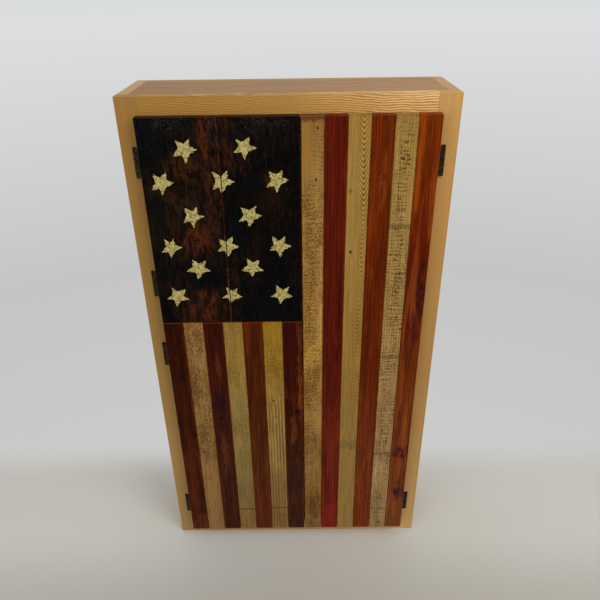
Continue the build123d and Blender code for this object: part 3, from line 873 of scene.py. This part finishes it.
def case_board(name, grain, across, face, tones, ring, seed, slot="case_fir", look=CASE_PINE, **shape):
    """One board of the case: its finish, its plank and its place."""
    material = wood("pine_" + name, name, grain, across, tones, ring=ring, seed=float(seed), **look)
    piece = plank(name + "_plank", name, grain, face, material, seed=seed, **shape)
    finished(piece, "case", name)


def build_frame():
    """Face frame: two stiles with hinge mortises, two rails."""
    face_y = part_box("stile_left")[0][1] / MM
    for name, grain, across, tones, ring, seed in FRAME:
        dents = brad_dents("frame_brads", 1, face_y, AXES[across], AXES[grain], name)
        case_board(name, grain, across, "-y", tones, ring, seed, dents=dents, pockets=mortises(name),
                   **SHAPE_BY_GRAIN[grain])


def build_box():
    """Sides, top and back of the box."""
    for name, face, seed, a0 in (("side_panel_left", "-x", 7, 35), ("side_panel_right", "+x", 8, -30)):
        side_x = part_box(name)[0 if face[0] == "-" else 1][0] / MM
        case_board(name, "z", "y", face, "C49A5E BB9056 B48A52 BA925C", (7.0, a0, 30, 1500, 0.9, 0.22),
                   seed, arris=0.6, wear=0.15, wave=0.1,
                   dents=brad_dents("case_brads", 0, side_x, 1, 2, name))
    top_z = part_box("top_panel")[1][2] / MM
    case_board("top_panel", "x", "y", "+z", "B48C5E AE865A A8825A A07A54", (4.2, 20, 18, 1000, 1.2, 0.45),
               9, slot="top_fir", look=TOP_PINE, arris=0.7, wear=0.2, wave=0.12,
               dents=brad_dents("case_brads", 2, top_z, 1, 0, "top_panel"))
    case_board("back_panel", "z", "x", "+y", "B8905C B08852 AC8450 B08A58", (9.0, 60, 40, 1300, 1.2, 0.3),
               10, look=BACK_PINE, arris=0.6, wear=0.15, wave=0.15, step=(8.0, 12.0))


def dress_inside():
    """Finishes on the CAD's own panels, shelves, battens and dowels."""
    panels = ("divider_panel", "left_fixed_shelf", "lower_left_shelf", "right_shelf_lower",
              "right_shelf_upper", "bottom_panel")
    for seed, name in enumerate(panels):
        dress(name, wood("pine_" + name, name, "z" if seed == 0 else "x", "y", "C8A56E BE9A64 BA9660",
                         ring=(6.0, 15 - 9 * seed, 24, 900, 0.9, 0.30), seed=20.0 + seed, **INNER_PINE))
    for door, count, seed in (("canton", 2, 30.0), ("lower_left", 2, 33.0), ("right", 3, 36.0)):
        for index in range(1, count + 1):
            name = door + "_batten_" + str(index)
            dress(name, wood("pine_" + name, name, "x", "z", "C29A62 BA925C B68E58",
                             ring=(5.0, 26, 12, 700, 0.9, 0.3), seed=seed + len(name) * 0.3, **BATTEN_PINE))
    dress("frame_dowels", wood("beech_dowels", "frame_dowels", "x", "z", "CFAE7C C7A471", line="94683A",
                               ring=(1.1, 3, 2, 200, 0.5, 0.3), fibre=0.1, gloss=0.5, seed=40.0))


# Doors

BARE_BACK = "B8915C"
LEAF_PAST_EDGE = 5.0
HOLE_BELOW, HOLE_SHARE, HOLE_DEEP = 2.0, 0.9, 2.2
CREAM = dict(line="5E3E14", fibre=0.22, gloss=0.5, relief=0.35, back=BARE_BACK,
             edge=("8A5018", 1.4, 0.8))
RED = dict(line="3A0C04", fibre=0.46, gloss=0.38, relief=0.25, back=BARE_BACK,
           edge=("8A3A0E", 1.1, 0.5))
MAROON = dict(line="1C0604", fibre=0.5, gloss=0.4, relief=0.28, back=BARE_BACK,
              edge=("8A3C10", 1.2, 0.55))

# Each board: family, tones from top to bottom, and its own marks. Marks count from the board's
# centre line and the part's base.
BOARDS = {
    "right_board_1": (CREAM, "8C6834 A88044 AE8442 9A723C 845E36", dict(
        ring=(4.2, 44, 12, 1500, 0.8, 0.25), fleck=("44280C", 420, 260, 0.48, 0.60, 0.66, 40, 875),
        saw=("3E240A", 6.5, 0.50, 0.62, 0.6),
        patches=[("5E3A18", 0, 720, 7, 80, 0.15), ("BC8C38", -6, 540, 16, 60, 0.6),
                 ("5A3A20", 0, 90, 16, 60, 0.6)],
        bands=[("5A3014", 985, 9, 0.85), ("B48C4A", 809, 9, 0.45)],
        knots=[(8.3, 968, 1.5, 1.0), (5.8, 883, 1.9, 1.0)], knot_colour="140A07",
        blotches=[("A5702C", 40, 9, 0.5, 0.66, 0.55)])),
    "right_board_2": (RED, "581405 541303 501104 601E10 681A12", dict(
        ring=(6.5, 60, 20, 1900, 0.6, 0.4),
        patches=[("8E261A", 2, 70, 17, 60, 0.45), ("782A12", 0, 300, 15, 80, 0.35),
                 ("2C0A06", 12, 640, 5, 90, 0.6)],
        blotches=[("6A260C", 60, 8, 0.52, 0.7, 0.5)])),
    "right_board_3": (CREAM, "A07C3C 9C783C 967234 8C6C38 8E6E3C", dict(
        ring=(2.4, 10, 4, -9, 1.3, 0.8), ring_across=(-11, -1), ring_along=(340, 440),
        knots=[(-12, 862, 3.0, 0.55), (-8.5, 750, 2.6, 0.9), (7.8, 284, 3.0, 0.5)],
        blotches=[("9E7A30", 50, 8, 0.5, 0.68, 0.5), ("7A6C40", 30, 5, 0.56, 0.72, 0.4)],
        bands=[("5A4A2C", 296, 16, 0.35)])),
    "right_board_4": (RED, "662402 5C1E00 581C00 662C0E 6E2E10", dict(
        ring=(4.6, 50, 16, 1700, 0.7, 0.35), knot_colour="1E0808",
        knots=[(6, 886, 5.0, 0.45), (-3.8, 148, 1.5, 1.0), (-7.9, 65, 1.3, 0.9)],
        blotches=[("8A3E10", 70, 7, 0.5, 0.68, 0.5)])),
    "right_board_5": (CREAM, "9E7C40 A68448 A4824A A28050 A8865A 947646", dict(
        ring=(4.8, 48, 12, 1700, 0.6, 0.3), saw=("382006", 7.0, 0.50, 0.60, 0.9),
        fleck=("48300F", 210, 430, 0.54, 0.64, 0.58, 60, 1000),
        bands=[("4E3216", 797, 7, 0.5), ("5E4020", 523, 5, 0.4), ("5E4020", 267, 5, 0.4),
               ("4E3216", 96, 4, 0.45)])),
    "right_board_6": (RED, "783002 601A00 5C1C04 6E320E 683416 723C1A", dict(
        ring=(3.0, 38, 10, 1500, 0.8, 0.42),
        knots=[(10.7, 676, 3.6, 0.9), (-1.5, 278, 6.0, 0.75), (-1.5, 149, 7.5, 0.7), (-11.4, 68, 1.4, 1.0)],
        knot_colour="260A12", blotches=[("A04A12", 90, 6, 0.5, 0.66, 0.45)],
        patches=[("360A10", 3, 650, 17, 85, 0.8), ("36101A", 7, 150, 13, 26, 0.8),
                 ("9A4408", -12, 900, 4, 90, 0.4), ("2C0E18", 9, 272, 14, 17, 0.9),
                 ("3A101A", -4, 262, 16, 6, 0.7)])),
    "lower_left_board_1": (MAROON, "2C0900 3E1604 56220E", dict(
        ring=(5.5, 50, 14, 1500, 0.7, 0.35), blotches=[("1C0602", 60, 10, 0.48, 0.64, 0.6)],
        patches=[("5E260A", 16.5, 480, 2, 160, 0.6)])),
    "lower_left_board_2": (CREAM, "98723E 92703E 8C693C 8A683A", dict(
        ring=(3.2, 40, 8, 900, 1.1, 0.5), fleck=("563617", 560, 150, 0.45, 0.57, 0.75, 250, 640),
        knots=[(-8.8, 465, 1.8, 0.8), (-7, 274, 1.8, 0.8), (5.8, 62, 1.3, 1.0)],
        blotches=[("5E3E20", 90, 30, 0.54, 0.68, 0.5)])),
    "lower_left_board_3": (MAROON, "360C02 38120A 3A1A0E 3E1A0C", dict(
        ring=(3.6, 4, 8, -260, 1.3, 0.4), knot_colour="160608",
        knots=[(0, 372, 4.0, 0.8), (4, 328, 3.5, 0.6), (1.8, 130, 3.5, 0.8)],
        patches=[("5E2A0C", 3, 505, 5, 44, 0.6), ("603010", -1, 275, 6, 62, 0.65),
                 ("1A0A12", 0, 410, 14, 26, 0.7)])),
    "lower_left_board_4": (CREAM, "94712E 94743A 8E7440 7A663A 805F34", dict(
        ring=(3.8, 42, 10, 1400, 0.8, 0.25), fleck=("5E461A", 400, 260, 0.50, 0.64, 0.6, 40, 640),
        bands=[("3E2C14", 98, 3.5, 0.7)], blotches=[("6E6840", 44, 9, 0.52, 0.68, 0.4)])),
    "lower_left_board_5": (MAROON, "4E1C00 4C1E02 54280C 56200E", dict(
        ring=(3.4, 44, 12, 1800, 0.7, 0.75), blotches=[("6E300E", 80, 6, 0.5, 0.68, 0.4)])),
    "lower_left_board_6": (CREAM, "947018 9C7836 8C7040 82603A 7A5A2E", dict(
        ring=(6.4, 30, 9, 2400, 0.6, 0.8), ring_along=(470, 380),
        fleck=("6A440C", 420, 230, 0.50, 0.62, 0.6, 330, 640),
        knots=[(-4.3, 417, 2.2, 0.8), (8, 76, 2.6, 0.8)], bands=[("4A3014", 101, 3, 0.6)],
        blotches=[("B08E40", 40, 6, 0.5, 0.68, 0.4)])),
    "lower_left_board_7": (MAROON, "340800 360E02 3C1C0E 3A1C10", dict(
        ring=(4.2, 22, 6, 60, 1.4, 0.8), knots=[(8.1, 386, 4.0, 0.9)], knot_colour="120506",
        patches=[("7A3A12", 14, 430, 5, 60, 0.7), ("7A3A12", -2, 330, 7, 40, 0.5),
                 ("6A2C10", 13, 560, 4, 50, 0.6)],
        blotches=[("5E2A0E", 60, 14, 0.54, 0.7, 0.4)])),
}


def canton_wood(name, node, seed, tones, patches):
    """Blue-black stain over brown wood, worn through in streaks; patches place the warm areas."""
    return wood(name, node, "z", "x", tones, ring=(4.0, 70, 18, 1500, 0.8, 0.35), line="030203", fibre=0.5,
                gloss=0.34, shine=0.04, relief=0.35, seed=seed, back=BARE_BACK, patches=patches, drift=0.3,
                blotches=[("050403", 60, 34, 0.50, 0.60, 0.75), ("33200F", 170, 34, 0.60, 0.70, 0.4),
                          ("030202", 190, 50, 0.50, 0.58, 0.75), ("060A0C", 34, 22, 0.52, 0.64, 0.6)],
                edge=("5A2208", 0.7, 0.8), fleck=("4A3E3A", 300, 420, 0.62, 0.70, 0.5, 965, 1000))


def door_pockets(hinge_node, sign):
    """Rebates for the door leaves in the back of a hinge-side board."""
    edge_side = sign * (HINGE_AXIS + LEAF_PAST_EDGE)
    inner_side = sign * (HINGE_AXIS - DOOR_LEAF)
    return [(sorted((inner_side, edge_side)), (height - LEAF_HALF, height + LEAF_HALF), LEAF_SUNK)
            for height in hinge_heights(hinge_node)]


def build_boards():
    """Striped boards of the two striped doors."""
    for seed, (node, (family, tones, marks)) in enumerate(BOARDS.items()):
        low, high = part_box(node)
        middle = (low[0] + high[0]) / 2 / MM
        material = wood("stripe_" + node, node, "z", "x", tones, seed=float(seed), **family, **marks)
        holes = [(middle + a, t, size * HOLE_SHARE, HOLE_DEEP)
                 for a, t, size, _ in marks.get("knots", ()) if size < HOLE_BELOW]
        rebates = ()
        if node == "right_board_6":
            rebates = door_pockets("right_door_leaves", 1)
        if node == "lower_left_board_1":
            rebates = door_pockets("lower_left_door_leaves", -1)
        piece = plank(node + "_plank", node, "z", "-y", material, arris=1.1, wear=0.5, wave=0.3,
                      step=(4.0, 7.0), dents=holes, rebates=rebates, seed=40 + seed)
        body = "right_door" if node.startswith("right") else "lower_left_door"
        finished(piece, body, node)


STARS = (
    (-170, 935, 0), (-73, 938, 0), (-214, 880, 0), (-113.5, 881, 0), (-21, 882, 0), (-168, 820, 0),
    (-70, 821, 0), (-212, 762, 0), (-112, 764, 0), (-20, 764, 0), (-167, 721, 1), (-70, 722, 1),
    (-211, 664, 1), (-111, 665, 1), (-19, 666, 1),
)
POINTS_AT = ((0, 65, 128, 212, 268), (-13, 50, 117, 194, 259))


def star_paint():
    """Cream paint, hand brushed and rubbed, with the dark stain showing through."""
    finish = Finish("star_paint")
    wide = finish.cells((190.0, 1.0, 150.0), 4.0, 0.65)
    fine = finish.cells((900.0, 1.0, 160.0), 3.0, 0.65)
    cracks = finish.cells((300.0, 1.0, 240.0), 4.0, 0.7, 0.8)
    colour = hexed("C6B874")
    for mask, code in ((finish.step(wide, 0.40, 0.62), "988442"),
                       (finish.step(fine, 0.52, 0.66, 0.6), "8E7A40"),
                       (finish.step(cracks, 0.53, 0.61, 0.85), "463C20"),
                       (finish.step(wide, 0.40, 0.30, 0.6), "8E9A80")):
        colour = finish.mix(mask, colour, hexed(code))
    finish.set("Base Color", colour)
    finish.set("Roughness", finish.add(finish.times(fine, 0.3), 0.35))
    finish.surface.inputs["Specular IOR Level"].default_value = 0.2
    finish.bump(finish.add(finish.times(fine, 0.6), finish.times(cracks, 0.8)), 0.2 * MM)
    return finish.material


def build_canton():
    """Two wide stained boards."""
    looks = {
        "canton_board_1": ("120D0B 1E130A 24170B 1E1009 140D0A 20110A 1A0F09", 51.0, [
            ("05080C", -42, 930, 34, 52, 0.95), ("4A2209", 46, 935, 13, 70, 0.9),
            ("3A2009", 4, 905, 30, 22, 0.8), ("2E1C0A", -18, 858, 44, 26, 0.8),
            ("0A0703", -30, 880, 40, 6, 0.8), ("4E220C", 18, 778, 30, 34, 0.95),
            ("241508", -36, 800, 24, 50, 0.7), ("03060A", 34, 697, 36, 30, 0.97),
            ("0A0D0A", -46, 815, 12, 60, 0.8), ("50220C", 14, 636, 38, 38, 0.95),
            ("050403", -54, 636, 12, 44, 0.9), ("34170A", 44, 835, 14, 60, 0.8),
            ("100A06", -20, 712, 40, 18, 0.8), ("5E2E16", 65.4, 800, 1.5, 700, 0.8)]),
        "canton_board_2": ("16100C 0B0706 0C0705 090606 07070A 0B0808", 52.0, [
            ("3A1A0A", -50, 945, 13, 48, 0.85), ("30180C", -26, 915, 14, 30, 0.8),
            ("040B0E", -48, 800, 15, 30, 0.95), ("06090F", -10, 655, 22, 46, 0.9),
            ("1E0E06", 18, 850, 26, 40, 0.8), ("2C1A20", 40, 978, 28, 7, 0.5),
            ("1C0C06", -20, 745, 20, 60, 0.8), ("28120A", -52, 690, 8, 60, 0.8),
            ("3E1C0C", 14, 885, 10, 14, 0.7), ("24100A", 52, 730, 10, 60, 0.6)]),
    }
    for node, (tones, seed, patches) in looks.items():
        material = canton_wood("navy_" + node, node, seed, tones, patches)
        rebates = door_pockets("canton_door_leaves", -1) if node.endswith("1") else ()
        piece = plank(node + "_plank", node, "z", "-y", material, arris=0.9, wear=0.3, wave=CANTON_WAVE,
                      sunk=CANTON_SUNK, step=(4.0, 7.0), rebates=rebates, seed=CANTON_SEED)
        finished(piece, "canton_door", node)


def build_stars():
    """Fifteen painted stars; one that straddles the boards' seam is made of two pieces."""
    paint = star_paint()
    face_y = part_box("canton_board_1")[0][1] / MM
    seam = (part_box("canton_board_1")[1][0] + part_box("canton_board_2")[0][0]) / 2 / MM
    for number, (x, z, turn) in enumerate(STARS, 1):
        rng = np.random.default_rng(STAR_SEED + number)
        tips = np.array(POINTS_AT[turn]) + rng.normal(0, POINT_TURN, 5)
        outline = star_outline(tips, STAR_RADIUS * (1 + SIZE_VARY * rng.normal()), OUTLINE_SEED + number)
        label = "star_" + format(number, "02d")
        if abs(x - seam) < STAR_RADIUS:
            for side, tag in ((-1, "_left"), (1, "_right")):
                piece = star_piece(label + tag, outline, (x, z), (seam + side * SEAM_BRIDGE, z),
                                   seam + side * SEAM_CLEAR, face_y, paint)
                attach(piece, "canton_door")
        else:
            piece = star_piece(label, outline, (x, z), (x, z), None, face_y, paint)
            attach(piece, "canton_door")


build_frame()
build_box()
dress_inside()
build_boards()
build_canton()
build_stars()


# Studio

def floor_finish():
    """Pale paper of a studio floor: nearly even, with faint clouds and a fine tooth, and a painted shade
    that darkens it towards the front. Behind the object it thins out with y, until only the pale world is
    left."""
    finish = Finish("floor_paper")
    y = finish.place((0, 0, 0))[1]
    cloud, tooth = finish.cells((1.6, 1.6, 1.0)), finish.cells((300.0, 300.0, 1.0))
    colour = finish.mix(finish.step(cloud, 0.35, 0.65, 0.25), hexed("CFCCC3"), hexed("C5C0B4"))
    # painted shade: the floor's colour darkens towards the front
    colour = finish.mix(finish.step(y, PAINTED_SHADE_FROM, PAINTED_SHADE_TO, 0.5), colour, hexed("9F978B"))
    finish.set("Base Color", colour)
    finish.surface.inputs["Roughness"].default_value = 0.85
    finish.bump(tooth, 0.1 * MM)
    clear = finish.tree.nodes.new("ShaderNodeBsdfTransparent")
    blend = finish.tree.nodes.new("ShaderNodeMixShader")
    for socket, value in zip(blend.inputs, (finish.step(y, FADE_FROM, FADE_TO),
                                            finish.surface.outputs[0], clear.outputs[0])):
        finish.feed(socket, value)
    finish.feed(finish.output, blend.outputs[0])
    return finish.material


def sheet_of(y, z):
    """Sheet that carries a profile in Y and Z across the room."""
    x = np.linspace(-FLOOR_WIDTH / 2, FLOOR_WIDTH / 2, FLOOR_GRID[1])
    across = (len(y), len(x))
    points = np.stack([np.broadcast_to(x[None, :], across), np.broadcast_to(y[:, None], across),
                       np.broadcast_to(z[:, None], across)], axis=-1)
    return points.reshape(-1, 3), grid_faces(*across)


def build_floor():
    """Flat floor under the object."""
    y = np.linspace(FLOOR_FRONT, FADE_TO + FLOOR_PAST_FADE, FLOOR_GRID[0])
    add_mesh("floor", *sheet_of(y, np.full(len(y), CAD_BOX[0][2])), floor_finish())


def stand(item, right, up, back, place):
    """Links an object into the scene at a place, turned to three axes."""
    bpy.context.scene.collection.objects.link(item)
    turn = np.stack([right, up, back], axis=1).tolist()
    item.matrix_world = Matrix([row + [spot] for row, spot in zip(turn, place)] + [[0, 0, 0, 1]])


def area_light(name, place, target, size, power, colour):
    """Square soft light aimed at a point."""
    lamp = bpy.data.lights.new(name, "AREA")
    lamp.size = size
    lamp.energy = power
    lamp.color = colour
    back = np.array(place) - np.array(target)
    back /= np.linalg.norm(back)
    side = np.cross((0.0, 0.0, 1.0), back)
    side /= np.linalg.norm(side)
    stand(bpy.data.objects.new(name, lamp), side, np.cross(back, side), back, place)


def build_camera():
    """Camera from its place and its turn: yaw, then pitch down, then roll about the line of sight."""
    yaw, pitch, roll = np.radians(CAMERA_TURN)
    ahead = np.array([np.sin(yaw) * np.cos(pitch), np.cos(yaw) * np.cos(pitch), -np.sin(pitch)])
    level = np.array([np.cos(yaw), -np.sin(yaw), 0.0])
    up = np.cross(level, ahead)
    right = np.cos(roll) * level + np.sin(roll) * up
    above = -np.sin(roll) * level + np.cos(roll) * up
    lens = bpy.data.cameras.new("camera")
    lens.sensor_width = SENSOR_WIDTH
    lens.lens = CAMERA_LENS
    lens.clip_start = 0.01
    camera = bpy.data.objects.new("camera", lens)
    stand(camera, right, above, -ahead, CAMERA_PLACE)
    bpy.context.scene.camera = camera


def build_light():
    """Pale world shaded by height, a broad key from the upper right, a weaker fill from the left."""
    world = bpy.data.worlds.new("studio")
    world.use_nodes = True
    nodes, links = world.node_tree.nodes, world.node_tree.links
    background = nodes["Background"]
    background.inputs["Strength"].default_value = 1.0
    split = nodes.new("ShaderNodeSeparateXYZ")
    links.new(nodes.new("ShaderNodeTexCoord").outputs["Generated"], split.inputs[0])
    height = nodes.new("ShaderNodeMapRange")
    height.inputs["From Min"].default_value = -1.0
    links.new(split.outputs["Z"], height.inputs["Value"])
    shade = nodes.new("ShaderNodeValToRGB")
    for number, (place, colour) in enumerate(WORLD_SHADES):
        stop = shade.color_ramp.elements[number] if number < 2 else shade.color_ramp.elements.new(1.0)
        stop.position, stop.color = (place + 1) / 2, colour + (1.0,)
    links.new(height.outputs["Result"], shade.inputs["Fac"])
    links.new(shade.outputs["Color"], background.inputs["Color"])
    bpy.context.scene.world = world
    for light in LIGHTS:
        area_light(*light)
    bpy.context.scene.view_settings.view_transform = "Standard"


build_floor()
build_camera()
build_light()
